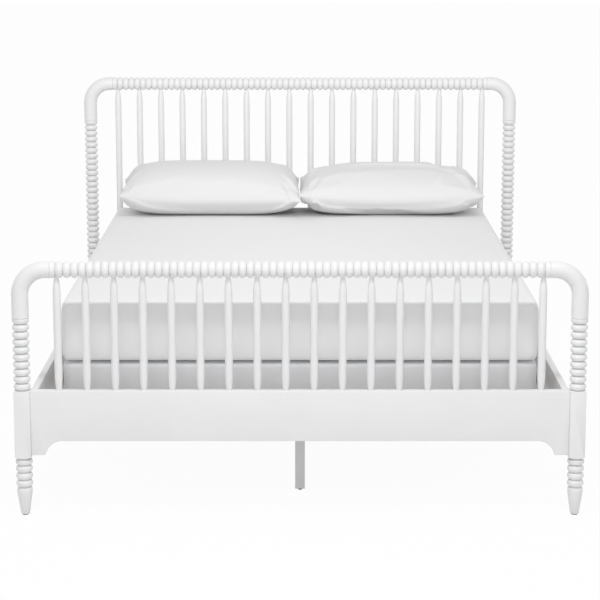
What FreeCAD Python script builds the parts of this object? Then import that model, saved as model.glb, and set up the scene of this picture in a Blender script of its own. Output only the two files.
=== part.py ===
import FreeCAD, Part
import math
import os
import Sketcher

# A bobbin-turned bed. X runs across the bed, +Y towards the headboard, +Z up, and the origin
# lies on the floor under the middle of the bed. Millimetres. Left is -X, seen from the footboard.

Vector = FreeCAD.Vector
X_AXIS = Vector(1, 0, 0)
Y_AXIS = Vector(0, 1, 0)
Z_AXIS = Vector(0, 0, 1)

doc = FreeCAD.newDocument("SpindleBed")

# ---------------------------------------------------------------- sizes

DRIVING = {
    # the two boards
    "overall_width": 1690,
    "board_spacing": 2090,
    "post_diameter": 50,
    "groove_diameter": 34,
    "joint_diameter": 45,
    "bead_pitch": 22.3,
    "bead_crest": 11,
    "collar_length": 16.5,
    "footboard_beads": 9,
    "headboard_beads": 25,
    "rail_beads": 64,
    "turning_sides": 8,
    "slim_sides": 8,
    "shank_sides": 4,
    "bolt_hole_sides": 6,
    "head_sides": 6,
    # the square block and the turned leg of each post
    "block_side": 47,
    "block_top": 381,
    "block_height": 205,
    "block_chamfer": 5,
    "leg_neck": 6,
    "leg_beads": 3,
    "leg_groove_diameter": 37,
    "foot_shoulder_diameter": 46,
    "foot_shoulder_length": 9,
    "foot_diameter": 26,
    "glide_diameter": 20,
    "glide_height": 3,
    # the quarter bends
    "bend_radius": 75,
    "elbow_drop": 69,
    "elbow_run": 15,
    "bend_steps": 5,
    "dowel_diameter": 12,
    "dowel_length": 50,
    "dowel_clearance": 0.15,
    # the spindles
    "spindle_count": 18,
    "spindle_margin": 18.55,
    "spindle_foot_diameter": 15,
    "spindle_belly_diameter": 23.5,
    "spindle_shoulder_diameter": 23,
    "spindle_tip_diameter": 12,
    "spindle_belly_rise": 33,
    "spindle_taper": 42,
    "spindle_seat": 15,
    # the panels
    "panel_thickness": 26,
    "panel_height": 153,
    "ear_width": 41,
    "cove_run": 46.5,
    "cove_rise": 43,
    "cove_radius": 55.5,
    "tenon_thickness": 12,
    "tenon_length": 22,
    "tenon_height": 110,
    "tenon_clearance": 0.15,
    # the side rails and what they carry
    "side_rail_thickness": 20,
    "side_rail_height": 153,
    "side_rail_inset": 1.5,
    "cleat_width": 25,
    "cleat_height": 24,
    "cleat_end_gap": 60,
    "slat_count": 5,
    "slat_spacing": 395,
    "slat_width": 70,
    "slat_thickness": 20,
    "slat_end_gap": 3,
    # the centre legs and their levelling feet
    "leg_side": 30,
    "leg_lift": 6.5,
    "insert_diameter": 12,
    "insert_length": 15,
    "insert_clearance": 0.05,
    "stud_diameter": 8,
    "stud_length": 33,
    "stud_clearance": 0.05,
    "stud_well": 4,
    "pad_diameter": 17,
    "pad_foot_diameter": 10,
    "pad_height": 5,
    "pad_floor": 2,
    # brackets and screws
    "bracket_leg": 48,
    "bracket_height": 100,
    "bracket_thickness": 3,
    "bracket_drop": 12,
    "bracket_hole_inset": 22,
    "screw_diameter": 6,
    "screw_head_diameter": 12,
    "screw_head_height": 4,
    "screw_bite": 14,
    "screw_hole_clearance": 0.3,
    "leg_bolt_length": 58,
    # the bedding
    "bedding_side_gap": 62.5,
    "bedding_foot_gap": 69.5,
    "bedding_head_gap": 89.5,
    "box_spring_height": 176,
    "box_spring_corner": 45,
    "box_spring_edge": 14,
    "mattress_height": 180,
    "mattress_overhang": 5,
    "mattress_corner": 60,
    "mattress_edge": 32,
    "corner_steps": 4,
    "edge_steps": 3,
    "pillow_width": 676,
    "pillow_depth": 400,
    "pillow_height": 186,
    "pillow_gap": 6,
    "pillow_headboard_gap": 5,
    "pillow_seam_rise": 80,
    "pillow_pull": 20,
    "soft_clearance": 0.3,
}

# Places and sizes that follow from the driving ones.
DERIVED = {
    "post_x": "(overall_width - post_diameter) / 2",
    "board_y": "board_spacing / 2",
    "block_bottom": "block_top - block_height",
    "panel_half": "post_x - block_side / 2",
    "panel_bottom": "block_top - panel_height",
    "panel_inner": "board_y - panel_thickness / 2",
    "ear_bottom": "panel_bottom - cove_rise",
    "ear_end": "panel_half - ear_width",
    "cove_end": "ear_end - cove_run",
    "cove_chord": "sqrt(cove_run ^ 2 + cove_rise ^ 2)",
    "cove_depth": "sqrt(cove_radius ^ 2 - cove_chord ^ 2 / 4)",
    "cove_middle_x": "(ear_end + cove_end) / 2 - cove_depth * cove_rise / cove_chord",
    "cove_middle_z": "(ear_bottom + panel_bottom) / 2 - cove_depth * cove_run / cove_chord",
    "tenon_end": "panel_half + tenon_length",
    "tenon_top": "block_top - (panel_height - tenon_height) / 2",
    "tenon_bottom": "tenon_top - tenon_height",
    "rail_half": "post_x - bend_radius - elbow_run",
    "rail_pitch": "2 * (rail_half - collar_length) / rail_beads",
    "spindle_pitch": "2 * (rail_half - spindle_margin) / (spindle_count - 1)",
    "footboard_joint": "block_top + footboard_beads * bead_pitch + collar_length",
    "headboard_joint": "block_top + headboard_beads * bead_pitch + collar_length",
    "bend_height": "elbow_drop + bend_radius",
    "footboard_rail": "footboard_joint + bend_height",
    "headboard_rail": "headboard_joint + bend_height",
    "bore_diameter": "dowel_diameter + 2 * dowel_clearance",
    "bore_depth": "dowel_length / 2 + dowel_clearance",
    "side_rail_outer": "panel_half - side_rail_inset",
    "side_rail_inner": "side_rail_outer - side_rail_thickness",
    "side_rail_bottom": "block_top - side_rail_height",
    "slat_bottom": "side_rail_bottom + cleat_height",
    "slat_top": "slat_bottom + slat_thickness",
    "stud_bottom": "pad_floor + stud_clearance",
    "stud_bore": "(stud_diameter + 2 * stud_clearance) / cos(180 / turning_sides)",
    "stud_bore_depth": "pad_floor + stud_length + stud_well - leg_lift",
    "bracket_top": "block_top - bracket_drop",
    "bracket_bottom": "bracket_top - bracket_height",
    "screw_hole": "screw_diameter + 2 * screw_hole_clearance",
    "box_spring_width": "2 * (side_rail_inner - bedding_side_gap)",
    "box_spring_length": "2 * panel_inner - bedding_foot_gap - bedding_head_gap",
    "bedding_y": "(bedding_foot_gap - bedding_head_gap) / 2",
    "mattress_length": "box_spring_length + 2 * mattress_overhang",
    "mattress_base": "slat_top + box_spring_height",
    "mattress_top": "mattress_base + mattress_height",
}


def write_sheet():
    """Puts every size in the sheet, one row each: its name, and its value under that alias."""
    page = doc.addObject("Spreadsheet::Sheet", "Sizes")
    rows = [(name, str(value)) for name, value in DRIVING.items()]
    rows += [(name, "=" + formula) for name, formula in DERIVED.items()]
    for number, (name, text) in enumerate(rows, start=1):
        page.set(f"A{number}", name)
        page.set(f"B{number}", text)
        page.setAlias(f"B{number}", name)
    doc.recompute()
    return page


sheet = write_sheet()


def size(name):
    """The value of one cell."""
    return float(sheet.get(name))


def linked(formula):
    """The formula with each size's name pointing at its cell."""
    words = []
    for word in formula.split():
        words.append("Sizes." + word if word in DRIVING or word in DERIVED else word)
    return " ".join(words)


def bind(thing, **properties):
    """Ties each property to a formula of the sheet: Length="side_rail_inner * 2"."""
    for name, formula in properties.items():
        thing.setExpression(name, linked(formula))


def place(thing, **axes):
    """Ties the thing's position along x, y or z to a formula of the sheet."""
    for axis, formula in axes.items():
        thing.setExpression(f"Placement.Base.{axis}", linked(formula))


# ---------------------------------------------------------------- shapes

kept = []  # the sub-parts to write, in the order they are made


def keep(thing, name):
    thing.Label = name
    kept.append(thing)
    return thing


def shaped(name, shape):
    """An object whose shape is worked out here from the sheet's sizes."""
    thing = doc.addObject("Part::Feature", name)
    thing.Shape = shape
    return thing


def turned(thing, axis_end):
    """Turns the thing's own Z axis to point along axis_end."""
    thing.Placement = FreeCAD.Placement(Vector(), FreeCAD.Rotation(Z_AXIS, axis_end))
    return thing


def block(name, length, width, height):
    """A box, its three sizes tied to the sheet."""
    thing = doc.addObject("Part::Box", name)
    bind(thing, Length=length, Width=width, Height=height)
    return thing


def bar(name, diameter, length, sides):
    """A straight bar or bore with flat sides, standing on its own origin."""
    thing = doc.addObject("Part::Prism", name)
    bind(thing, Circumradius=f"( {diameter} ) / 2", Height=length, Polygon=sides)
    return thing


def join(name, pieces):
    """One object from several that touch."""
    thing = doc.addObject("Part::MultiFuse", name)
    thing.Shapes = pieces
    thing.Refine = True
    return thing


def cut_out(name, base, tools):
    """The base with every tool taken away."""
    thing = doc.addObject("Part::Cut", name)
    thing.Base = base
    thing.Tool = tools[0] if len(tools) == 1 else gather(name + "_tools", tools)
    return thing


def gather(name, pieces):
    """A set of separate pieces as one object."""
    thing = doc.addObject("Part::Compound", name)
    thing.Links = pieces
    return thing


def ring(centre, across, beside, radius, sides):
    """The corners of a regular polygon, the first of them in the direction across."""
    corners = []
    for step in range(sides):
        turn = 2 * math.pi * step / sides
        corners.append(centre + across * (radius * math.cos(turn)) + beside * (radius * math.sin(turn)))
    return corners


def flat_face(corners):
    return Part.Face(Part.makePolygon(corners + corners[:1]))


def skin(rings):
    """A closed solid through rings of corners, every face of it flat."""
    faces = [flat_face(rings[0]), flat_face(rings[-1])]
    count = len(rings[0])
    for low, high in zip(rings, rings[1:]):
        for here in range(count):
            after = (here + 1) % count
            faces.append(flat_face([low[here], low[after], high[after], high[here]]))
    shell = Part.Shell(faces)
    shell.sewShape()
    solid = Part.Solid(shell)
    if solid.Volume < 0:
        solid.reverse()
    return solid


def turning(profile, sides):
    """A turned piece on the Z axis, through (height, diameter) pairs."""
    count = int(size(sides))
    rings = [ring(Z_AXIS * height, X_AXIS, Y_AXIS, diameter / 2, count) for height, diameter in profile]
    return skin(rings)


def bead_row(start, count, pitch, groove, last_groove=None):
    """The profile of a row of beads after the groove at start: up to a flat crest and down again."""
    flank = (pitch - size("bead_crest")) / 2
    profile = []
    for number in range(count):
        low = start + number * pitch
        profile.append((low + flank, size("post_diameter")))
        profile.append((low + pitch - flank, size("post_diameter")))
        profile.append((low + pitch, groove))
    if last_groove is not None:
        profile[-1] = (profile[-1][0], last_groove)
    return profile


def collar(start, groove_above):
    """The thinner bead next to a joint, after the groove at start."""
    length = size("collar_length")
    flank = (size("bead_pitch") - size("bead_crest")) / 2
    return [
        (start + flank, size("post_diameter")),
        (start + length - flank / 2, size("post_diameter")),
        (start + length, groove_above),
    ]


# ---------------------------------------------------------------- posts

def dowel_bore(name, inward):
    """The hole for half a dowel, from its mouth inwards."""
    return turned(bar(name, "bore_diameter", "bore_depth", "slim_sides"), inward)


def post_leg():
    """The turned leg under the block: neck, collar, beads and tapered foot, from the floor up."""
    neck_top = size("block_bottom")
    collar_top = neck_top - size("leg_neck")
    beads_top = collar_top - size("collar_length")
    beads_length = size("leg_beads") * size("bead_pitch")
    beads_bottom = beads_top - beads_length
    groove = size("leg_groove_diameter")
    flank = (size("bead_pitch") - size("bead_crest")) / 2
    profile = [
        (size("glide_height"), size("foot_diameter")),
        (beads_bottom - flank - size("foot_shoulder_length"), size("foot_shoulder_diameter")),
        (beads_bottom - flank, size("foot_shoulder_diameter")),
        (beads_bottom, groove),
    ]
    profile += bead_row(beads_bottom, int(size("leg_beads")), size("bead_pitch"), groove)
    profile += [
        (beads_top + flank / 2, size("post_diameter")),
        (collar_top - flank, size("post_diameter")),
        (collar_top, groove),
        (neck_top + size("block_chamfer"), groove),
    ]
    return turning(profile, "turning_sides")


def post_block(name):
    """The square block, its lower corners cut off where it meets the round leg."""
    blank = block(name + "_block", "block_side", "block_side", "block_height")
    place(blank, x="-1 * block_side / 2", y="-1 * block_side / 2", z="block_bottom")
    doc.recompute()
    cut = size("block_chamfer")
    low = size("block_bottom") + 1
    cornered = doc.addObject("Part::Chamfer", name + "_block_cornered")
    cornered.Base = blank
    cornered.Edges = [
        (number, cut, cut) for number, edge in enumerate(blank.Shape.Edges, start=1)
        if max(point.Z for point in edge.Vertexes) < low
    ]
    return cornered


def post_mortise(name):
    """The pocket in the block's +X side that takes the panel's tenon."""
    depth = "tenon_length + tenon_clearance"
    width = "tenon_thickness + 2 * tenon_clearance"
    pocket = block(name + "_mortise", depth, width, "tenon_height + 2 * tenon_clearance")
    place(pocket, x=f"block_side / 2 - ( {depth} )", y=f"( {width} ) / -2", z="tenon_bottom - tenon_clearance")
    return pocket


def make_post(name, board, bead_count, side, y_side):
    """One post: leg, block, beads and collar in one turning, bored on top for the elbow's dowel."""
    top = size("block_top")
    groove = size("groove_diameter")
    collar_start = top + bead_count * size("bead_pitch")
    profile = [(top - size("block_chamfer"), groove), (top, groove)]
    profile += bead_row(top, bead_count, size("bead_pitch"), groove)
    profile += collar(collar_start, size("joint_diameter"))
    column = shaped(name + "_column", turning(profile, "turning_sides"))
    leg = shaped(name + "_leg", post_leg())
    blank = join(name + "_blank", [column, post_block(name), leg])
    bore = dowel_bore(name + "_bore", Z_AXIS * -1)
    place(bore, z=f"{board}_joint")
    post = cut_out(name, blank, [post_mortise(name), bore])
    post.Placement = FreeCAD.Placement(Vector(), FreeCAD.Rotation(Z_AXIS, 90 - 90 * -side))
    place(post, x=f"{side} * post_x", y=f"{y_side} * board_y")
    keep(post, name)


# ---------------------------------------------------------------- elbows and top rails

def make_elbow(name, board, side, y_side):
    """A quarter bend from the post's joint up and over to the top rail's end, bored at both ends."""
    lip = (size("post_diameter") - size("joint_diameter")) / 2
    radius = size("bend_radius")
    out = X_AXIS * side
    start = Vector(side * size("post_x"), y_side * size("board_y"), size(f"{board}_joint"))
    pivot = start + Z_AXIS * size("elbow_drop") - out * radius
    sides = int(size("turning_sides"))
    steps = int(size("bend_steps"))
    full = size("post_diameter") / 2
    joint = size("joint_diameter") / 2
    rings = [
        ring(start, out, Y_AXIS, joint, sides),
        ring(start + Z_AXIS * lip, out, Y_AXIS, full, sides),
    ]
    for step in range(steps + 1):
        turn = math.pi / 2 * step / steps
        spoke = out * math.cos(turn) + Z_AXIS * math.sin(turn)
        rings.append(ring(pivot + spoke * radius, spoke, Y_AXIS, full, sides))
    end = pivot + Z_AXIS * radius - out * size("elbow_run")
    rings.append(ring(end + out * lip, Z_AXIS, Y_AXIS, full, sides))
    rings.append(ring(end, Z_AXIS, Y_AXIS, joint, sides))
    bend = shaped(name + "_bend", skin(rings))
    low_bore = dowel_bore(name + "_low_bore", Z_AXIS)
    high_bore = dowel_bore(name + "_high_bore", out)
    place(low_bore, x=f"{side} * post_x", y=f"{y_side} * board_y", z=f"{board}_joint")
    place(high_bore, x=f"{side} * rail_half", y=f"{y_side} * board_y", z=f"{board}_rail")
    keep(cut_out(name, bend, [low_bore, high_bore]), name)


def make_top_rail(name, board, y_side):
    """The beaded rail between the elbows, turned about its own axis and laid along X."""
    half = size("rail_half")
    groove = size("groove_diameter")
    joint = size("joint_diameter")
    length = size("collar_length")
    flank = (size("bead_pitch") - size("bead_crest")) / 2
    profile = [
        (-half, joint),
        (-half + flank / 2, size("post_diameter")),
        (-half + length - flank, size("post_diameter")),
        (-half + length, groove),
    ]
    profile += bead_row(-half + length, int(size("rail_beads")), size("rail_pitch"), groove)
    profile += collar(half - length, joint)
    blank = shaped(name + "_turning", turning(profile, "turning_sides"))
    near_bore = dowel_bore(name + "_near_bore", Z_AXIS)
    far_bore = dowel_bore(name + "_far_bore", Z_AXIS * -1)
    place(near_bore, z="-1 * rail_half")
    place(far_bore, z="rail_half")
    rail = cut_out(name, blank, [near_bore, far_bore])
    rail.Placement = FreeCAD.Placement(Vector(), FreeCAD.Rotation(Y_AXIS, 90))
    place(rail, y=f"{y_side} * board_y", z=f"{board}_rail")
    keep(rail, name)


def make_dowels(board, y_side):
    """The four dowels of one board, half of each on either side of its joint."""
    dowels = []
    for side_name, side in (("left", -1), ("right", 1)):
        low = bar(f"{board}_dowel_{side_name}_low", "dowel_diameter", "dowel_length", "slim_sides")
        place(low, x=f"{side} * post_x", y=f"{y_side} * board_y", z=f"{board}_joint - dowel_length / 2")
        high = bar(f"{board}_dowel_{side_name}_high", "dowel_diameter", "dowel_length", "slim_sides")
        turned(high, X_AXIS * side)
        place(high, x=f"{side} * ( rail_half - dowel_length / 2 )", y=f"{y_side} * board_y", z=f"{board}_rail")
        dowels += [low, high]
    return dowels


# ---------------------------------------------------------------- spindles and panels

def spindle(low, high):
    """A slim spindle from its seat in the panel, at low, to its seat in the rail, at high."""
    seat = size("spindle_seat")
    profile = [
        (low - seat, size("spindle_foot_diameter")),
        (low + size("spindle_belly_rise"), size("spindle_belly_diameter")),
        (high - size("spindle_taper"), size("spindle_shoulder_diameter")),
        (high + seat, size("spindle_tip_diameter")),
    ]
    return turning(profile, "slim_sides")


def make_spindles(name, board, y_side):
    """The row of spindles of one board, evenly spaced about the middle."""
    under_rail = size(f"{board}_rail") - size("post_diameter") / 2
    one = spindle(size("block_top"), under_rail)
    row = []
    for number in range(int(size("spindle_count"))):
        each = shaped(f"{board}_spindle_{number + 1}", one)
        place(each, x=f"( {number} - ( spindle_count - 1 ) / 2 ) * spindle_pitch", y=f"{y_side} * board_y")
        row.append(each)
    keep(gather(name, row), name)


def body_plane(body, role):
    """One of the body's own origin planes."""
    return next(part for part in body.Origin.OriginFeatures if part.Role == role)


def fix_point(sketch, geometry, end, across, up):
    """Holds one end of an edge at (across, up), two formulas of the sheet."""
    for kind, formula in (("DistanceX", across), ("DistanceY", up)):
        negative = formula.startswith("-")
        here, origin = (geometry, end), (-1, 1)
        first, second = (here, origin) if negative else (origin, here)
        name = formula.lstrip("-")
        number = sketch.addConstraint(Sketcher.Constraint(kind, *first, *second, size(name)))
        sketch.setExpression(f"Constraints[{number}]", linked(name))


def corner(across, up):
    """Where a sketch's corner starts out, before its formulas hold it."""
    return Vector(formula_value(across), formula_value(up), 0)


def formula_value(name):
    """The value of a size written with or without a minus sign."""
    return -size(name[1:]) if name.startswith("-") else size(name)


def outline(body, plane_role, corners, arc_radius=None, arcs=()):
    """A closed sketch through corners of the sheet's sizes. arcs maps an edge's number to the
    (across, up) names of its centre, and such an edge is part of a circle of arc_radius."""
    sketch = body.newObject("Sketcher::SketchObject", body.Name + "_outline")
    sketch.AttachmentSupport = [(body_plane(body, plane_role), "")]
    sketch.MapMode = "FlatFace"
    arcs = dict(arcs)
    points = [corner(*names) for names in corners]
    ends = []
    for number, here in enumerate(points):
        after = points[(number + 1) % len(points)]
        if number in arcs:
            centre = corner(*arcs[number])
            circle = Part.Circle(centre, Z_AXIS, (here - centre).Length)
            start_turn = math.atan2(here.y - centre.y, here.x - centre.x)
            end_turn = math.atan2(after.y - centre.y, after.x - centre.x)
            ahead = (end_turn - start_turn) % (2 * math.pi) < math.pi
            first, last = (start_turn, end_turn) if ahead else (end_turn, start_turn)
            sketch.addGeometry(Part.ArcOfCircle(circle, first, last))
            ends.append((1, 2) if ahead else (2, 1))
        else:
            sketch.addGeometry(Part.LineSegment(here, after))
            ends.append((1, 2))
    for number, names in enumerate(corners):
        after = (number + 1) % len(corners)
        sketch.addConstraint(Sketcher.Constraint("Coincident", number, ends[number][1], after, ends[after][0]))
        fix_point(sketch, number, ends[number][0], *names)
    for number in arcs:
        row = sketch.addConstraint(Sketcher.Constraint("Radius", number, size(arc_radius)))
        sketch.setExpression(f"Constraints[{row}]", linked(arc_radius))
    return sketch


def symmetric_pad(body, sketch, length):
    """A pad of the sketch to both sides alike."""
    pad = body.newObject("PartDesign::Pad", sketch.Name + "_pad")
    pad.Profile = sketch
    pad.Midplane = True
    bind(pad, Length=length)
    body.Tip = pad
    sketch.Visibility = False
    doc.recompute()
    return pad


def make_panel(name, side):
    """The lower board: a flat panel with coved ears, and a tenon at each end for the post's mortise."""
    body = doc.addObject("PartDesign::Body", name)
    corners = [
        ("-panel_half", "block_top"), ("-panel_half", "ear_bottom"), ("-ear_end", "ear_bottom"),
        ("-cove_end", "panel_bottom"), ("cove_end", "panel_bottom"), ("ear_end", "ear_bottom"),
        ("panel_half", "ear_bottom"), ("panel_half", "block_top"),
    ]
    coves = {2: ("-cove_middle_x", "cove_middle_z"), 4: ("cove_middle_x", "cove_middle_z")}
    symmetric_pad(body, outline(body, "XZ_Plane", corners, "cove_radius", coves), "panel_thickness")
    tenons = [
        ("-tenon_end", "tenon_top"), ("-tenon_end", "tenon_bottom"),
        ("tenon_end", "tenon_bottom"), ("tenon_end", "tenon_top"),
    ]
    symmetric_pad(body, outline(body, "XZ_Plane", tenons), "tenon_thickness")
    place(body, y=f"{side} * board_y")
    keep(body, name)


# ---------------------------------------------------------------- side rails, cleats and slats

def make_side(name, side):
    """A side rail and the cleat on its inner face, between the two panels."""
    rail = block(f"side_rail_{name}", "side_rail_thickness", "panel_inner * 2", "side_rail_height")
    edge = "side_rail_inner" if side > 0 else "-1 * side_rail_outer"
    place(rail, x=edge, y="-1 * panel_inner", z="side_rail_bottom")
    keep(rail, f"side_rail_{name}")
    cleat = block(f"cleat_{name}", "cleat_width", "2 * ( panel_inner - cleat_end_gap )", "cleat_height")
    edge = "side_rail_inner - cleat_width" if side > 0 else "-1 * side_rail_inner"
    place(cleat, x=edge, y="cleat_end_gap - panel_inner", z="side_rail_bottom")
    keep(cleat, f"cleat_{name}")


def row_place(number):
    """Where the slat, leg or foot with this number lies along the bed, as a formula."""
    return f"( {number} - ( slat_count - 1 ) / 2 ) * slat_spacing"


def make_slat(number):
    """A cross slat on the two cleats, with a counterbored hole for its leg's bolt."""
    name = f"slat_{number + 1}"
    along = row_place(number)
    blank = block(name + "_board", "2 * ( side_rail_inner - slat_end_gap )", "slat_width", "slat_thickness")
    place(blank, x="slat_end_gap - side_rail_inner", y=f"{along} - slat_width / 2", z="slat_bottom")
    through = bar(name + "_hole", "screw_hole", "slat_thickness", "bolt_hole_sides")
    place(through, y=along, z="slat_bottom")
    sink = bar(name + "_sink", "screw_head_diameter + 4 * screw_hole_clearance",
               "screw_head_height + soft_clearance", "bolt_hole_sides")
    place(sink, y=along, z="slat_top - screw_head_height - soft_clearance")
    keep(cut_out(name, blank, [join(name + "_bore", [through, sink])]), name)


# ---------------------------------------------------------------- centre legs

def make_centre_leg(number):
    """A square leg under a slat, its lower end bored for the insert and the stud."""
    name = f"centre_leg_{number + 1}"
    along = row_place(number)
    blank = block(name + "_blank", "leg_side", "leg_side", "slat_bottom - leg_lift")
    place(blank, x="-1 * leg_side / 2", y=f"{along} - leg_side / 2", z="leg_lift")
    seat = bar(name + "_seat", "insert_diameter + 2 * insert_clearance", "insert_length", "slim_sides")
    place(seat, y=along, z="leg_lift")
    well = bar(name + "_well", "stud_bore", "stud_bore_depth", "turning_sides")
    place(well, y=along, z="leg_lift")
    keep(cut_out(name, blank, [join(name + "_bore", [seat, well])]), name)


def make_insert(number):
    """The metal sleeve in a centre leg that the stud turns in."""
    name = f"insert_{number + 1}"
    along = row_place(number)
    sleeve = bar(name + "_sleeve", "insert_diameter", "insert_length", "slim_sides")
    bore = bar(name + "_bore", "stud_bore", "insert_length", "turning_sides")
    place(sleeve, y=along, z="leg_lift")
    place(bore, y=along, z="leg_lift")
    return cut_out(name, sleeve, [bore])


def make_levelling_foot(number):
    """The stud that turns in the insert, and the domed pad that it stands in."""
    along = row_place(number)
    stud = bar(f"levelling_stud_{number + 1}", "stud_diameter", "stud_length", "turning_sides")
    place(stud, y=along, z="stud_bottom")
    keep(stud, stud.Name)
    name = f"levelling_pad_{number + 1}"
    dome = shaped(name + "_dome", turning([
        (0, size("pad_foot_diameter")),
        (size("pad_height") / 2, size("pad_diameter")),
        (size("pad_height"), size("pad_diameter")),
    ], "turning_sides"))
    cup = bar(name + "_cup", "stud_bore", "pad_height", "turning_sides")
    place(cup, z="pad_floor")
    pad = cut_out(name, dome, [cup])
    place(pad, y=along)
    keep(pad, name)


# ---------------------------------------------------------------- brackets and fasteners

def screw(name, length):
    """A hex-headed screw along Z, its head's underside at the origin and its shank below."""
    head = bar(name + "_head", "screw_head_diameter", "screw_head_height", "head_sides")
    shank = bar(name + "_shank", "screw_diameter", length, "shank_sides")
    place(shank, z=f"-1 * ( {length} )")
    whole = join(name, [head, shank])
    doc.recompute()
    return whole


def set_screw(pattern, name, outward, x, y, z):
    """A copy of the screw with its head's underside at the place and its head outwards."""
    each = turned(shaped(name, pattern.Shape), outward)
    place(each, x=x, y=y, z=z)
    return each


def make_bracket(name, x_side, y_side, pattern):
    """An angle in the corner between a side rail and a panel, with two screws in each leg."""
    rail_face = f"{x_side} * side_rail_inner"
    panel_face = f"{y_side} * panel_inner"
    inset_x = "bracket_leg" if x_side > 0 else "0"
    inset_y = "bracket_leg" if y_side > 0 else "0"
    thin_x = "bracket_thickness" if x_side > 0 else "0"
    thin_y = "bracket_thickness" if y_side > 0 else "0"
    near_rail = block(name + "_rail_leg", "bracket_thickness", "bracket_leg", "bracket_height")
    place(near_rail, x=f"{rail_face} - {thin_x}", y=f"{panel_face} - {inset_y}", z="bracket_bottom")
    near_panel = block(name + "_panel_leg", "bracket_leg", "bracket_thickness", "bracket_height")
    place(near_panel, x=f"{rail_face} - {inset_x}", y=f"{panel_face} - {thin_y}", z="bracket_bottom")
    angle = join(name + "_angle", [near_rail, near_panel])
    along = f"( bracket_leg - bracket_hole_inset )"
    drills = []
    screws = []
    for level, z in (("high", "bracket_top - bracket_hole_inset"), ("low", "bracket_bottom + bracket_hole_inset")):
        on_rail = (f"{rail_face} - {x_side} * bracket_thickness", f"{panel_face} - {y_side} * {along}")
        on_panel = (f"{rail_face} - {x_side} * {along}", f"{panel_face} - {y_side} * bracket_thickness")
        for face, outward, (x, y) in (("rail", X_AXIS * -x_side, on_rail), ("panel", Y_AXIS * -y_side, on_panel)):
            drill = bar(f"{name}_{face}_hole_{level}", "screw_hole", "2 * bracket_thickness", "bolt_hole_sides")
            turned(drill, outward)
            back_x = f" + {x_side} * bracket_thickness * 3 / 2" if face == "rail" else ""
            back_y = f" + {y_side} * bracket_thickness * 3 / 2" if face == "panel" else ""
            place(drill, x=x + back_x, y=y + back_y, z=z)
            drills.append(drill)
            screws.append(set_screw(pattern, f"{name}_{face}_screw_{level}", outward, x, y, z))
    keep(cut_out(name, angle, drills), name)
    return screws


def make_fasteners():
    """The screws of the cleats and slats, the bolts of the centre legs and the glides of the posts."""
    into_rail = screw("cleat_screw", "cleat_width + screw_bite")
    short = screw("slat_screw", "slat_thickness + screw_bite - screw_head_height")
    bolt = screw("leg_bolt", "leg_bolt_length")
    flush = "slat_top - screw_head_height - soft_clearance"
    middle = "side_rail_bottom + cleat_height / 2"
    cleat_screws = []
    slat_screws = []
    leg_bolts = []
    for number in range(int(size("slat_count"))):
        along = row_place(number)
        leg_bolts.append(set_screw(bolt, f"leg_bolt_{number + 1}", Z_AXIS, "0", along, flush))
        for side_name, side in (("left", -1), ("right", 1)):
            tag = f"{side_name}_{number + 1}"
            x = f"{side} * ( side_rail_inner - cleat_width / 2 )"
            slat_screws.append(set_screw(short, f"slat_screw_{tag}", Z_AXIS, x, along, flush))
            if number:  # the cleats' screws lie midway between the slats
                x = f"{side} * ( side_rail_inner - cleat_width )"
                between = row_place(number) + " - slat_spacing / 2"
                cleat_screws.append(set_screw(into_rail, f"cleat_screw_{tag}", X_AXIS * -side, x, between, middle))
    keep(gather("cleat_screws", cleat_screws), "cleat_screws")
    keep(gather("slat_screws", slat_screws), "slat_screws")
    keep(gather("leg_bolts", leg_bolts), "leg_bolts")
    glides = []
    for number, (x, y) in enumerate(((-1, -1), (-1, 1), (1, -1), (1, 1)), start=1):
        glide = bar(f"post_glide_{number}", "glide_diameter", "glide_height", "turning_sides")
        place(glide, x=f"{x} * post_x", y=f"{y} * board_y")
        glides.append(glide)
    keep(gather("post_glides", glides), "post_glides")


# ---------------------------------------------------------------- bedding

def rounded_outline(half_x, half_y, radius, height):
    """The corners of a rounded rectangle at a height, a quarter circle in steps at each corner."""
    steps = int(size("corner_steps"))
    corners = []
    for quarter, (side_x, side_y) in enumerate(((1, 1), (-1, 1), (-1, -1), (1, -1))):
        centre = Vector(side_x * (half_x - radius), side_y * (half_y - radius), height)
        for step in range(steps + 1):
            turn = math.pi / 2 * (quarter + step / steps)
            corners.append(centre + Vector(math.cos(turn), math.sin(turn), 0) * radius)
    return corners


def make_bedding_block(name, length, base):
    """A box spring or mattress: a rounded rectangle whose top and bottom edges are rounded over."""
    width, length, height = size("box_spring_width"), size(length), size(f"{name}_height")
    corner_radius, edge_radius = size(f"{name}_corner"), size(f"{name}_edge")
    steps = int(size("edge_steps"))
    half_x, half_y = width / 2, length / 2
    rounding = []
    for step in range(steps + 1):
        turn = math.pi / 2 * step / steps
        rounding.append((edge_radius * (1 - math.sin(turn)), edge_radius * (1 - math.cos(turn))))
    levels = [(inset, rise) for inset, rise in rounding]
    levels += [(inset, height - rise) for inset, rise in reversed(rounding)]
    rings = [
        rounded_outline(half_x - inset, half_y - inset, corner_radius - inset, rise)
        for inset, rise in levels
    ]
    bedding = shaped(name, skin(rings))
    place(bedding, y="bedding_y", z=base)
    keep(bedding, name)


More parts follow.
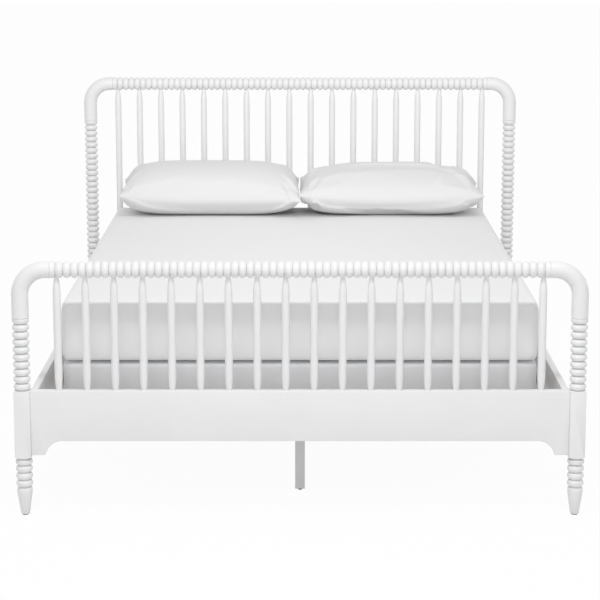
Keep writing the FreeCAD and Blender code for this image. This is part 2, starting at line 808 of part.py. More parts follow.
def pillow_section(along, seam):
    """The corners of one cross-section of a pillow, at along from -1 to 1 of its half width: over
    the crown from front to back and back along the belly, which is flat where it rests."""
    pull = size("pillow_pull")
    rise = size("pillow_seam_rise")
    half_depth = size("pillow_depth") / 2 - pull * (1 - along * along)
    fullness = math.sqrt(1 - abs(along) ** 3)
    top = []
    belly = []
    for across in seam:
        drawn_in = pull * (1 - across * across) * abs(along) ** 3
        x = math.copysign(abs(along) * size("pillow_width") / 2 - drawn_in, along)
        swell = fullness * math.sqrt(1 - abs(across) ** 2.6)
        top.append(Vector(x, across * half_depth, rise + (size("pillow_height") - rise) * swell))
        belly.append(Vector(x, across * half_depth, rise - rise * min(1, 1.35 * swell)))
    return top + belly[-2:0:-1]


def make_pillow(name, side):
    """A pillow lying flat at the head of the bed: full in the middle and thin at its seam, its four
    corners drawn out to points and its sides pulled in between them."""
    along = (-1, -0.93, -0.78, -0.55, -0.28, 0, 0.28, 0.55, 0.78, 0.93, 1)
    across = (-1, -0.9, -0.7, -0.4, 0, 0.4, 0.7, 0.9, 1)
    rings = [pillow_section(share, across) for share in along]
    faces = []
    for low, high in zip(rings, rings[1:]):
        for here in range(len(low)):
            after = (here + 1) % len(low)
            for corners in ([low[here], low[after], high[after]], [low[here], high[after], high[here]]):
                faces.append(flat_face(corners))
    shell = Part.Shell(faces)
    shell.sewShape()
    shape = Part.Solid(shell)
    if shape.Volume < 0:
        shape.reverse()
    pillow = shaped(name, shape)
    place(pillow, x=f"{side} * ( pillow_width + pillow_gap ) / 2",
          y="board_y - ( post_diameter + pillow_depth ) / 2 - pillow_headboard_gap",
          z="mattress_top + soft_clearance")
    keep(pillow, name)


# ---------------------------------------------------------------- the whole bed

def make_board(board, y_side):
    """A headboard or footboard, and the dowels of its four joints."""
    bead_count = int(size(f"{board}_beads"))
    for side_name, side in (("left", -1), ("right", 1)):
        make_post(f"{board}_post_{side_name}", board, bead_count, side, y_side)
        make_elbow(f"{board}_elbow_{side_name}", board, side, y_side)
    make_top_rail(f"{board}_top_rail", board, y_side)
    make_spindles(f"{board}_spindles", board, y_side)
    make_panel(f"{board}_panel", y_side)
    return make_dowels(board, y_side)


def make_bed():
    dowels = make_board("footboard", -1) + make_board("headboard", 1)
    keep(gather("joint_dowels", dowels), "joint_dowels")
    for name, side in (("left", -1), ("right", 1)):
        make_side(name, side)
    inserts = []
    for number in range(int(size("slat_count"))):
        make_slat(number)
        make_centre_leg(number)
        make_levelling_foot(number)
        inserts.append(make_insert(number))
    keep(gather("threaded_inserts", inserts), "threaded_inserts")
    bracket_screw = screw("bracket_screw", "screw_bite + bracket_thickness")
    screws = []
    for end_name, y_side in (("foot", -1), ("head", 1)):
        for name, side in (("left", -1), ("right", 1)):
            screws += make_bracket(f"{end_name}_bracket_{name}", side, y_side, bracket_screw)
    keep(gather("bracket_screws", screws), "bracket_screws")
    make_fasteners()
    make_bedding_block("box_spring", "box_spring_length", "slat_top")
    make_bedding_block("mattress", "mattress_length", "mattress_base")
    for name, side in (("left", -1), ("right", 1)):
        make_pillow(f"pillow_{name}", side)


def check(thing):
    """Stops the build if an object has failed or has no sound shape."""
    if any(state in ("Invalid", "Error") for state in thing.State):
        raise RuntimeError(f"{thing.Label} did not build: {thing.State}")
    if hasattr(thing, "Shape") and thing in kept and (thing.Shape.isNull() or not thing.Shape.isValid()):
        raise RuntimeError(f"{thing.Label} has no valid shape")


make_bed()
doc.recompute()
for item in doc.Objects:
    check(item)
os.makedirs("parts", exist_ok=True)
for item in kept:
    item.Shape.exportStep(f"parts/{item.Label}.step")
    print(item.Label, len(item.Shape.Solids), "solids", round(item.Shape.Volume), "mm3")
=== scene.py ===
import math

import bpy
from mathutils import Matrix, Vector


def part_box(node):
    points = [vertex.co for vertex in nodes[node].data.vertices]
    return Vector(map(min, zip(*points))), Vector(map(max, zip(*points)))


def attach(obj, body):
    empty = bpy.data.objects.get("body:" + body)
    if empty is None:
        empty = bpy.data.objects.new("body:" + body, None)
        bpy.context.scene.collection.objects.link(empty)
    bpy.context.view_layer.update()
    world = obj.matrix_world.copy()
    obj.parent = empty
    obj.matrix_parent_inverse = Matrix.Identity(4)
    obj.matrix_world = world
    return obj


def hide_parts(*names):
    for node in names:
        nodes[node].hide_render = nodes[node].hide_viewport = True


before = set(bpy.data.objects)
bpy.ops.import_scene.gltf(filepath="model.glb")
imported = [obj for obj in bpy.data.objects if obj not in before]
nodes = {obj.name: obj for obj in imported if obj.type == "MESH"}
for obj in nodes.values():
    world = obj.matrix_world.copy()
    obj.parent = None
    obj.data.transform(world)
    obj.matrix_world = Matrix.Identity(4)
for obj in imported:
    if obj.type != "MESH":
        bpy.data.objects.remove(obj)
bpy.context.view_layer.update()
print("frame loaded:", len(nodes), "nodes")

# largest angle, in degrees, over which two faces are shaded as one
smoothing = {"bends": 30, "boards": 30, "turned": 40, "quickBlocks": 40, "blocks": 60, "pillows": 80}
mergeGap = 0.00002


def deselectAll():
    bpy.ops.object.select_all(action="DESELECT")


def only(piece):
    # makes piece the one selected and active object
    if bpy.context.mode != "OBJECT":
        bpy.ops.object.mode_set(mode="OBJECT")
    deselectAll()
    piece.select_set(True)
    bpy.context.view_layer.objects.active = piece
    return piece


def editMode():
    bpy.ops.object.mode_set(mode="EDIT")


def objectMode():
    bpy.ops.object.mode_set(mode="OBJECT")


def edit(piece):
    only(piece)
    editMode()


def nameNew(name):
    # names the object that was just added, and its mesh
    piece = bpy.context.object
    piece.name = piece.data.name = name
    return piece


def settle(piece):
    # moves the object's place, turn and scale into its mesh
    only(piece)
    bpy.ops.object.transform_apply(location=True, rotation=True, scale=True)
    return piece


def outwards(piece):
    # merges doubles and turns every face outwards
    edit(piece)
    bpy.ops.mesh.select_all(action="SELECT")
    bpy.ops.mesh.remove_doubles(threshold=mergeGap)
    bpy.ops.mesh.normals_make_consistent(inside=False)
    objectMode()
    return piece


def smooth(piece, angle):
    only(piece)
    bpy.ops.object.shade_smooth_by_angle(angle=math.radians(angle))
    return piece


def applyModifier(piece, kind, **values):
    only(piece)
    modifier = piece.modifiers.new(kind.title(), kind)
    for name, value in values.items():
        setattr(modifier, name, value)
    bpy.ops.object.modifier_apply(modifier=modifier.name)
    return piece


def selectEdges(piece, wanted):
    # selects the edges whose two ends satisfy wanted, and opens edit mode
    edit(piece)
    bpy.ops.mesh.select_mode(type="EDGE")
    bpy.ops.mesh.select_all(action="DESELECT")
    objectMode()
    for edge in piece.data.edges:
        edge.select = wanted(*[piece.data.vertices[number].co for number in edge.vertices])
    editMode()


def copyPiece(piece, name, move=(0, 0, 0)):
    # a copy with its own mesh, moved in the mesh
    only(piece)
    bpy.ops.object.duplicate(linked=False)
    copy = nameNew(name)
    copy.location = Vector(move)
    return settle(copy)


def mirrorCopy(piece, name):
    # the same piece for the other side of the bed
    copy = copyPiece(piece, name)
    copy.scale = (-1, 1, 1)
    settle(copy)
    return outwards(copy)


def joinPieces(pieces, name):
    only(pieces[0])
    for other in pieces[1:]:
        other.select_set(True)
    bpy.ops.object.join()
    return nameNew(name)


def dress(piece, material, body="frame", standsFor=()):
    # gives a finished piece its material, its body and the nodes that it stands for
    piece.data.materials.clear()
    piece.data.materials.append(material)
    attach(piece, body)
    if standsFor:
        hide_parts(*standsFor)
    return piece


# a bump is its distance and strength, or a cloth's its strength alone; a roughness is its span
paint = {
    "color": (0.85, 0.85, 0.852), "roughness": (0.34, 0.46), "bump": (0.0006, 1.0),
    "grain": 0.05, "peel": 0.03, "grainStretch": (60, 60, 3), "shade": (0.975, 1.0),
    "grainNoise": {"Scale": 6.0, "Detail": 6.0, "Roughness": 0.6},
    "peelNoise": {"Scale": 420.0, "Detail": 2.0},
    "cloudNoise": {"Scale": 7.0, "Detail": 3.0},
}
sheetCloth = {"color": (0.895, 0.895, 0.90), "thread": 900, "bump": 0.08}
# the pillows' white cotton is painted darker than the sheet: painted shade that offsets the head spot lamp's
# light on them
shadedPillowCloth = {"color": (0.79, 0.79, 0.795), "thread": 1100, "bump": 0.08}
# the box spring has the sheet's white ticking, painted darker: painted shade for the shadow under the
# footboard panel and rail
shadedBoxCloth = {"color": (0.76, 0.76, 0.77), "thread": 700, "bump": 0.10}
weave = {
    "roughness": (0.78, 0.9), "bumpDistance": 0.0002, "sheen": 0.15, "sheenRoughness": 0.5,
    "thread": 900.0, "drift": 0.004, "shade": (0.97, 1.0),
    "driftNoise": {"Scale": 14.0, "Detail": 2.0},
    "slubNoise": {"Scale": 30.0, "Detail": 4.0},
}
pine = {
    "light": (0.72, 0.53, 0.32), "dark": (0.50, 0.33, 0.17), "ringSpan": (0.36, 0.58),
    "roughness": (0.55, 0.72), "bump": (0.0005, 0.4), "grainStretch": (3, 40, 40),
    "grainNoise": {"Scale": 1.6, "Detail": 7.0, "Roughness": 0.65, "Distortion": 0.6},
}
steel = {
    "color": (0.60, 0.61, 0.63), "dull": 0.86, "roughness": (0.3, 0.42),
    "mottleNoise": {"Scale": 90.0, "Detail": 3.0},
}
darkPlastic = {
    "color": (0.035, 0.035, 0.038), "roughness": (0.48, 0.6), "bump": (0.0002, 0.5),
    "gritNoise": {"Scale": 1500.0, "Detail": 2.0},
}
# the span that a noise texture fills for the most part
noiseSpan = (0.3, 0.7)
# where a mix node of colors takes its two colors, and where it gives the result
mixSockets = {"first": 6, "second": 7, "result": 2}
number, color, vector = "NodeSocketFloat", "NodeSocketColor", "NodeSocketVector"
groupOutputs = [("Color", color), ("Rough", number), ("Height", number)]


def addNode(tree, kind, **values):
    # a node with its inputs, or else its settings, set by name
    node = tree.nodes.new(kind)
    for name, value in values.items():
        if name in node.inputs:
            node.inputs[name].default_value = value
        else:
            setattr(node, name, value)
    return node


def noise(tree, place, values):
    texture = addNode(tree, "ShaderNodeTexNoise", **values)
    tree.links.new(place, texture.inputs["Vector"])
    return texture.outputs


def stretched(tree, place, scale):
    mapping = addNode(tree, "ShaderNodeMapping", Scale=scale)
    tree.links.new(place, mapping.inputs["Vector"])
    return mapping.outputs["Vector"]


def combine(tree, operation, first, second):
    # a math node on two values that vary
    node = addNode(tree, "ShaderNodeMath", operation=operation)
    tree.links.new(first, node.inputs[0])
    tree.links.new(second, node.inputs[1])
    return node.outputs[0]


def spread(tree, source, toSpan, fromSpan=(0.0, 1.0)):
    # turns a value in one span into a value in another
    node = addNode(tree, "ShaderNodeMapRange")
    node.inputs["From Min"].default_value, node.inputs["From Max"].default_value = fromSpan
    node.inputs["To Min"].default_value, node.inputs["To Max"].default_value = toSpan
    tree.links.new(source, node.inputs["Value"])
    return node.outputs["Result"]


def shaded(tree, base, shade):
    # the base color darkened by a shade between 0 and 1
    tint = addNode(tree, "ShaderNodeMix", data_type="RGBA", blend_type="MULTIPLY")
    tint.inputs["Factor"].default_value = 1.0
    tree.links.new(base, tint.inputs[mixSockets["first"]])
    tree.links.new(shade, tint.inputs[mixSockets["second"]])
    return tint.outputs[mixSockets["result"]]


def makeGroup(name, inputs):
    # a node group with named sockets and no nodes yet but its two ends
    group = bpy.data.node_groups.new(name, "ShaderNodeTree")
    for socket, kind, value in inputs:
        made = group.interface.new_socket(name=socket, in_out="INPUT", socket_type=kind)
        if value is not None:
            made.default_value = value
    for socket, kind in groupOutputs:
        group.interface.new_socket(name=socket, in_out="OUTPUT", socket_type=kind)
    start = group.nodes.new("NodeGroupInput")
    end = group.nodes.new("NodeGroupOutput")
    return group, start.outputs, end.inputs


def makePaintGroup():
    # brushed-on paint: the wood's grain just shows through, with a fine peel over it
    inputs = [("Vector", vector, None), ("Color", color, (1, 1, 1, 1))]
    inputs += [("Grain", number, paint["grain"]), ("Peel", number, paint["peel"])]
    group, start, end = makeGroup("paintFilm", inputs)
    place = start["Vector"]
    grain = noise(group, stretched(group, place, paint["grainStretch"]), paint["grainNoise"])["Fac"]
    peel = noise(group, place, paint["peelNoise"])["Fac"]
    cloud = noise(group, place, paint["cloudNoise"])["Fac"]
    grainPart = combine(group, "MULTIPLY", grain, start["Grain"])
    peelPart = combine(group, "MULTIPLY", peel, start["Peel"])
    shade = spread(group, cloud, paint["shade"], noiseSpan)
    group.links.new(combine(group, "ADD", grainPart, peelPart), end["Height"])
    group.links.new(shaded(group, start["Color"], shade), end["Color"])
    group.links.new(cloud, end["Rough"])
    return group


def makeClothGroup():
    # plain weave: crossed threads, a little uneven, on any side of the piece
    inputs = [("Vector", vector, None), ("Color", color, (1, 1, 1, 1))]
    inputs += [("Thread", number, weave["thread"])]
    group, start, end = makeGroup("plainWeave", inputs)
    place = start["Vector"]
    drift = addNode(group, "ShaderNodeVectorMath", operation="MULTIPLY_ADD")
    drift.inputs[1].default_value = [weave["drift"]] * 3
    group.links.new(noise(group, place, weave["driftNoise"])["Color"], drift.inputs[0])
    group.links.new(place, drift.inputs[2])
    threads = []
    for direction in ("X", "Y", "Z"):
        wave = addNode(group, "ShaderNodeTexWave", wave_type="BANDS", bands_direction=direction)
        wave.inputs["Distortion"].default_value = 0.0
        group.links.new(drift.outputs[0], wave.inputs["Vector"])
        group.links.new(start["Thread"], wave.inputs["Scale"])
        threads.append(wave.outputs["Fac"])
    crossed = combine(group, "ADD", combine(group, "ADD", threads[0], threads[1]), threads[2])
    slub = noise(group, place, weave["slubNoise"])["Fac"]
    group.links.new(crossed, end["Height"])
    group.links.new(shaded(group, start["Color"], spread(group, slub, weave["shade"])), end["Color"])
    group.links.new(slub, end["Rough"])
    return group


paintGroup = makePaintGroup()
clothGroup = makeClothGroup()


def startMaterial(name):
    material = bpy.data.materials.new(name)
    material.use_nodes = True
    tree = material.node_tree
    shader = tree.nodes["Principled BSDF"]
    place = tree.nodes.new("ShaderNodeTexCoord")
    return material, tree, shader, place.outputs["Object"]


def roughBetween(tree, source, shader, span):
    tree.links.new(spread(tree, source, span, noiseSpan), shader.inputs["Roughness"])


def bumpFrom(tree, source, shader, distance, strength):
    bump = addNode(tree, "ShaderNodeBump", Strength=strength, Distance=distance)
    tree.links.new(source, bump.inputs["Height"])
    tree.links.new(bump.outputs["Normal"], shader.inputs["Normal"])


def colorBetween(tree, source, shader, dark, light, span=(0.0, 1.0)):
    # dark up to the span's start, light from its end on
    ramp = tree.nodes.new("ShaderNodeValToRGB")
    for stop, position, shade in zip(ramp.color_ramp.elements, span, (dark, light)):
        stop.position = position
        stop.color = (*shade, 1)
    tree.links.new(source, ramp.inputs["Fac"])
    tree.links.new(ramp.outputs["Color"], shader.inputs["Base Color"])


def whitePaint(name, across=False):
    # the grain runs up the piece, or across the bed
    material, tree, shader, place = startMaterial(name)
    turn = addNode(tree, "ShaderNodeMapping")
    turn.inputs["Rotation"].default_value = (0, math.radians(90), 0) if across else (0, 0, 0)
    tree.links.new(place, turn.inputs["Vector"])
    film = tree.nodes.new("ShaderNodeGroup")
    film.node_tree = paintGroup
    film.inputs["Color"].default_value = (*paint["color"], 1)
    film.inputs["Grain"].default_value = paint["grain"]
    film.inputs["Peel"].default_value = paint["peel"]
    tree.links.new(turn.outputs["Vector"], film.inputs["Vector"])
    tree.links.new(film.outputs["Color"], shader.inputs["Base Color"])
    roughBetween(tree, film.outputs["Rough"], shader, paint["roughness"])
    bumpFrom(tree, film.outputs["Height"], shader, *paint["bump"])
    return material


def wovenCloth(name, cloth):
    material, tree, shader, place = startMaterial(name)
    woven = tree.nodes.new("ShaderNodeGroup")
    woven.node_tree = clothGroup
    woven.inputs["Color"].default_value = (*cloth["color"], 1)
    woven.inputs["Thread"].default_value = cloth["thread"]
    tree.links.new(place, woven.inputs["Vector"])
    tree.links.new(woven.outputs["Color"], shader.inputs["Base Color"])
    roughBetween(tree, woven.outputs["Rough"], shader, weave["roughness"])
    bumpFrom(tree, woven.outputs["Height"], shader, weave["bumpDistance"], cloth["bump"])
    shader.inputs["Sheen Weight"].default_value = weave["sheen"]
    shader.inputs["Sheen Roughness"].default_value = weave["sheenRoughness"]
    return material


def bareWood(name):
    # planed pine with its grain across the bed
    material, tree, shader, place = startMaterial(name)
    grain = noise(tree, stretched(tree, place, pine["grainStretch"]), pine["grainNoise"])["Fac"]
    colorBetween(tree, grain, shader, pine["dark"], pine["light"], pine["ringSpan"])
    roughBetween(tree, grain, shader, pine["roughness"])
    bumpFrom(tree, grain, shader, *pine["bump"])
    return material


def plainMetal(name):
    # zinc plate: a soft mottled sheen
    material, tree, shader, place = startMaterial(name)
    mottle = noise(tree, place, steel["mottleNoise"])["Fac"]
    dark = [part * steel["dull"] for part in steel["color"]]
    colorBetween(tree, mottle, shader, dark, steel["color"])
    roughBetween(tree, mottle, shader, steel["roughness"])
    shader.inputs["Metallic"].default_value = 1.0
    return material


def mouldedPlastic(name):
    material, tree, shader, place = startMaterial(name)
    grit = noise(tree, place, darkPlastic["gritNoise"])["Fac"]
    shader.inputs["Base Color"].default_value = (*darkPlastic["color"], 1)
    roughBetween(tree, grit, shader, darkPlastic["roughness"])
    bumpFrom(tree, grit, shader, *darkPlastic["bump"])
    return material


paintUp = whitePaint("whitePaintUpright")
paintAcross = whitePaint("whitePaintAcross", across=True)
sheetWhite = wovenCloth("fittedSheet", sheetCloth)
# pillow cotton: white painted darker, painted shade against the head spot lamp
shadedPillowWhite = wovenCloth("pillowCottonShaded", shadedPillowCloth)
# box spring cover: white ticking painted darker, painted shade
shadedBoxWhite = wovenCloth("boxSpringCoverShaded", shadedBoxCloth)
pineAcross = bareWood("pineAcross")
zinc = plainMetal("zincPlate")
blackPlastic = mouldedPlastic("blackPlastic")
print("materials ready")


beads = {
    "sides": 28, "steps": 8, "crest": 0.025, "postGroove": 0.0135, "railGroove": 0.0160,
    "pitch": 0.0223, "fullness": 1.12,
}
# the short bead at a joint: each point as a share of its length and of the crest's rise
collar = {
    "length": 0.0165, "joint": 0.0225,
    "profile": [(0.10, 0.62), (0.28, 0.90), (0.48, 1.0), (0.86, 1.0), (0.95, 0.86)],
}
postShape = {
    "x": 0.82, "y": 1.045, "footboardBeads": 9, "headboardBeads": 25,
    "blockSide": 0.047, "blockBottom": 0.176, "blockTop": 0.381, "blockEase": 0.0012,
    "pommel": 0.0097, "pommelSides": 48, "pommelGap": 0.0002, "pommelOver": 0.02,
    "inBlock": 0.004, "overBlock": 0.0002,
}
# tip: height over the floor and radius; shoulder: depth under the lowest bead and radius
legShape = {
    "beads": 3, "groove": 0.0150, "neck": 0.006, "neckRadius": 0.0195,
    "tip": [(0.003, 0), (0.003, 0.0122), (0.0042, 0.0132)],
    "shoulder": [(0.0165, 0.0228), (0.0125, 0.0232), (0.0075, 0.0229), (0.0035, 0.0216)],
}
elbowShape = {"drop": 0.069, "radius": 0.075, "run": 0.015, "lip": 0.0022, "bendSteps": 14}
railShape = {"half": postShape["x"] - elbowShape["radius"] - elbowShape["run"], "beads": 64}
# lower: height over the panel and radius; upper: depth under the top rail and radius
spindleShape = {
    "count": 18, "margin": 0.01855, "sides": 20,
    "lower": [(-0.012, 0.0076), (0, 0.0082), (0.010, 0.0096), (0.022, 0.0109), (0.032, 0.0117),
              (0.045, 0.0119)],
    "upper": [(0.090, 0.0117), (0.045, 0.0116), (0.035, 0.0113), (0.024, 0.0103), (0.012, 0.0086),
              (0, 0.0068), (-0.008, 0.0062)],
}


def turnProfile(name, profile, sides):
    # draws the profile upwards point by point and spins it round the Z axis
    deselectAll()
    bpy.ops.mesh.primitive_plane_add(size=0.01)
    piece = nameNew(name)
    editMode()
    bpy.ops.mesh.select_mode(type="VERT")
    bpy.ops.mesh.select_all(action="SELECT")
    bpy.ops.mesh.merge(type="CENTER")
    height, radius = profile[0]
    bpy.ops.transform.translate(value=(radius, 0, height))
    for nextHeight, nextRadius in profile[1:]:
        step = (nextRadius - radius, 0, nextHeight - height)
        bpy.ops.mesh.extrude_vertices_move(TRANSFORM_OT_translate={"value": step})
        height, radius = nextHeight, nextRadius
    bpy.ops.mesh.select_all(action="SELECT")
    bpy.ops.mesh.spin(steps=sides, angle=2 * math.pi, center=(0, 0, 0), axis=(0, 0, 1))
    objectMode()
    return outwards(piece)


def beadPoints(start, length, groove):
    # one round bead above the groove at start
    points = []
    for step in range(1, beads["steps"] + 1):
        turn = math.pi * step / beads["steps"]
        swell = max(0.0, math.sin(turn)) ** beads["fullness"]
        rise = (1 - math.cos(turn)) / 2
        points.append((start + length * rise, groove + (beads["crest"] - groove) * swell))
    return points


def collarPoints(start, groove, upwards=True):
    # round on the groove's side, nearly square on the joint's
    profile = collar["profile"]
    if not upwards:
        profile = [(1 - share, swell) for share, swell in reversed(profile)]
    points = []
    for share, swell in profile:
        points.append((start + collar["length"] * share, groove + (beads["crest"] - groove) * swell))
    return points


def makeColumn(name, beadCount):
    # the turning from the block up to the joint with the quarter bend
    top, pitch, groove = postShape["blockTop"], beads["pitch"], beads["postGroove"]
    start = top - postShape["inBlock"]
    column = [(start, 0), (start, groove), (top + postShape["overBlock"], groove)]
    for number in range(beadCount):
        column += beadPoints(top + number * pitch, pitch, groove)
    collarStart = top + beadCount * pitch
    column += collarPoints(collarStart, groove)
    end = collarStart + collar["length"]
    column += [(end, collar["joint"]), (end, 0)]
    return turnProfile(name, column, beads["sides"])


def makeLeg(name):
    # the turned foot: a taper, a shoulder, beads and a collar under the block
    bottom, pitch, groove = postShape["blockBottom"], beads["pitch"], legShape["groove"]
    inBlock = bottom + postShape["inBlock"]
    start = bottom - legShape["neck"] - collar["length"] - legShape["beads"] * pitch
    leg = list(legShape["tip"])
    leg += [(start - depth, radius) for depth, radius in legShape["shoulder"]]
    leg.append((start, groove))
    for number in range(legShape["beads"]):
        leg += beadPoints(start + number * pitch, pitch, groove)
    leg += collarPoints(start + legShape["beads"] * pitch, groove)
    leg += [(bottom - legShape["neck"], legShape["neckRadius"]), (bottom - postShape["inBlock"], groove)]
    leg += [(inBlock, groove), (inBlock, 0)]
    return turnProfile(name, leg, beads["sides"])


def makePostBlock():
    # the square block, its lower corners cut by the lathe to a round pommel
    top, bottom, side = postShape["blockTop"], postShape["blockBottom"], postShape["blockSide"]
    middle, over = (top + bottom) / 2, postShape["pommelOver"]
    deselectAll()
    bpy.ops.mesh.primitive_cube_add(size=1, location=(0, 0, middle))
    block = bpy.context.object
    block.scale = (side, side, top - bottom)
    settle(block)
    applyModifier(block, "BEVEL", width=postShape["blockEase"], segments=2, limit_method="ANGLE")
    deselectAll()
    bpy.ops.mesh.primitive_cylinder_add(
        vertices=postShape["pommelSides"],
        radius=side / 2 * math.sqrt(2) + postShape["pommelGap"],
        depth=top - bottom + over,
        location=(0, 0, middle + over / 2),
    )
    pommel = bpy.context.object
    selectEdges(pommel, lambda one, two: one.z < 0 and two.z < 0)
    bpy.ops.mesh.bevel(offset=postShape["pommel"], segments=3, profile=0.4)
    objectMode()
    settle(pommel)
    applyModifier(block, "BOOLEAN", operation="INTERSECT", object=pommel, solver="EXACT")
    bpy.data.objects.remove(pommel)
    return block


def makePost(name, beadCount):
    parts = [makeColumn(name, beadCount), makeLeg(name + "Leg"), makePostBlock()]
    return smooth(joinPieces(parts, name), smoothing["turned"])


def makeElbow(name, jointHeight, y):
    # the left-hand quarter bend: a disc drawn up, swung over the corner and drawn on
    x = -postShape["x"]
    deselectAll()
    bpy.ops.mesh.primitive_circle_add(
        vertices=beads["sides"], radius=collar["joint"], fill_type="NGON", location=(x, y, jointHeight)
    )
    piece = settle(nameNew(name))
    edit(piece)
    bpy.ops.mesh.select_mode(type="FACE")
    bpy.ops.mesh.select_all(action="SELECT")
    grow = beads["crest"] / collar["joint"]
    lip, drop, run = elbowShape["lip"], elbowShape["drop"], elbowShape["run"]

    def draw(step, scale=1.0):
        bpy.ops.mesh.extrude_region_move(TRANSFORM_OT_translate={"value": step})
        if scale != 1.0:
            bpy.ops.transform.resize(value=(scale, scale, scale))

    draw((0, 0, lip), grow)
    draw((0, 0, drop - lip))
    pivot = (x + elbowShape["radius"], y, jointHeight + drop)
    bpy.ops.mesh.spin(steps=elbowShape["bendSteps"], angle=-math.pi / 2, center=pivot, axis=(0, 1, 0))
    draw((run - lip, 0, 0))
    draw((lip, 0, 0), 1 / grow)
    objectMode()
    return smooth(outwards(piece), smoothing["bends"])


def makeTopRail(name, y, height):
    # beads between two collars, turned upright and laid across the bed
    half, count, groove = railShape["half"], railShape["beads"], beads["railGroove"]
    start = -half + collar["length"]
    pitch = 2 * (half - collar["length"]) / count
    profile = [(-half, 0), (-half, collar["joint"])] + collarPoints(-half, groove, upwards=False)
    profile.append((start, groove))
    for number in range(count):
        profile += beadPoints(start + number * pitch, pitch, groove)
    profile += collarPoints(half - collar["length"], groove) + [(half, collar["joint"]), (half, 0)]
    piece = turnProfile(name, profile, beads["sides"])
    piece.rotation_euler = (0, math.radians(90), 0)
    piece.location = (0, y, height)
    return smooth(settle(piece), smoothing["turned"])


def makeSpindles(name, y, low, high):
    # one slim spindle, copied along the board
    shape = [(low + rise, radius) for rise, radius in spindleShape["lower"]]
    shape += [(high - drop, radius) for drop, radius in spindleShape["upper"]]
    shape = [(shape[0][0], 0)] + shape + [(shape[-1][0], 0)]
    firstX = railShape["half"] - spindleShape["margin"]
    first = turnProfile(name, shape, spindleShape["sides"])
    first.location = (-firstX, y, 0)
    smooth(settle(first), smoothing["turned"])
    pitch = 2 * firstX / (spindleShape["count"] - 1)
    row = [first]
    for number in range(1, spindleShape["count"]):
        row.append(copyPiece(first, f"{name}{number}", (number * pitch, 0, 0)))
    return joinPieces(row, name)


def makeBoard(board, y, beadCount):
    # the turned pieces of a headboard or footboard
    jointHeight = postShape["blockTop"] + beadCount * beads["pitch"] + collar["length"]
    railHeight = jointHeight + elbowShape["drop"] + elbowShape["radius"]
    post = makePost(board + "PostLeft", beadCount)
    post.location = (-postShape["x"], y, 0)
    settle(post)
    otherPost = copyPiece(post, board + "PostRight", (2 * postShape["x"], 0, 0))
    elbow = makeElbow(board + "ElbowLeft", jointHeight, y)
    otherElbow = smooth(mirrorCopy(elbow, board + "ElbowRight"), smoothing["bends"])
    rail = makeTopRail(board + "TopRail", y, railHeight)
    spindles = makeSpindles(board + "Spindles", y, postShape["blockTop"], railHeight - beads["crest"])
    dress(post, paintUp, standsFor=[f"{board}_post_left"])
    dress(otherPost, paintUp, standsFor=[f"{board}_post_right"])
    dress(elbow, paintUp, standsFor=[f"{board}_elbow_left"])
    dress(otherElbow, paintUp, standsFor=[f"{board}_elbow_right"])
    dress(rail, paintAcross, standsFor=[f"{board}_top_rail"])
    dress(spindles, paintUp, standsFor=[f"{board}_spindles"])


makeBoard("footboard", -postShape["y"], postShape["footboardBeads"])
makeBoard("headboard", postShape["y"], postShape["headboardBeads"])
print("turned work ready")


# panelHalf is where a panel meets its posts; angles are in degrees
boards = {
    "ease": 0.0015, "panelEase": 0.002, "easeSteps": 3, "sharp": 30, "flat": 1,
    "panelHalf": 0.7965, "slats": 5,
}


def easedCopy(node, name, width, cutAt=None):
    # a copy of a flat board with its sharp edges eased, as sanding and paint leave them
    piece = copyPiece(nodes[node], name)
    for key in [key for key in piece.keys() if key.startswith("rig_")]:
        del piece[key]
    piece.parent = None
    outwards(piece)
    edit(piece)
    if cutAt:
        # the tenons inside the posts come off
        for side in (-1, 1):
            place, normal = (side * cutAt, 0, 0), (side, 0, 0)
            bpy.ops.mesh.select_all(action="SELECT")
            bpy.ops.mesh.bisect(plane_co=place, plane_no=normal, clear_outer=True, use_fill=True)
    bpy.ops.mesh.select_all(action="SELECT")
    bpy.ops.mesh.dissolve_limited(angle_limit=math.radians(boards["flat"]))
    objectMode()
    bevel = {"width": width, "segments": boards["easeSteps"], "limit_method": "ANGLE"}
    applyModifier(piece, "BEVEL", angle_limit=math.radians(boards["sharp"]), **bevel)
    return smooth(piece, smoothing["boards"])


for board in ("footboard", "headboard"):
    panel = easedCopy(f"{board}_panel", board + "Panel", boards["panelEase"], cutAt=boards["panelHalf"])
    dress(panel, paintAcross, standsFor=[f"{board}_panel"])
for side in ("left", "right"):
    sideRail = easedCopy(f"side_rail_{side}", "sideRail" + side.title(), boards["ease"])
    dress(sideRail, paintAcross, standsFor=[f"side_rail_{side}"])
    cleat = easedCopy(f"cleat_{side}", "cleat" + side.title(), boards["ease"])
    dress(cleat, paintAcross, standsFor=[f"cleat_{side}"])
for place in range(1, boards["slats"] + 1):
    slat = easedCopy(f"slat_{place}", f"slat{place}", boards["ease"])
    dress(slat, pineAcross, standsFor=[f"slat_{place}"])
    leg = easedCopy(f"centre_leg_{place}", f"centreLeg{place}", boards["ease"])
    dress(leg, paintUp, standsFor=[f"centre_leg_{place}"])
print("boards ready")


mattress = {
    "node": "mattress", "corner": 0.026, "edge": 0.013, "voxel": 0.013,
    "inset": (0.0, 0.0, 0.001), "pressure": 2.0, "frames": 8, "cap": 0.004, "pinned": 0.022,
}
boxSpring = {
    "node": "box_spring", "corner": 0.026, "edge": 0.012, "voxel": 0.015,
    "inset": (0.001, 0.001, 0.001), "pressure": 1.5, "frames": 6, "cap": 0.003, "pinned": 0.022,
}
# two ends of an edge within levelGap of each other lie level
block = {"cornerSteps": 6, "edgeSteps": 4, "levelGap": 0.001}
clothFill = {"quality": 6, "mass": 0.3, "stretch": 18, "shear": 8, "bend": 0.6}
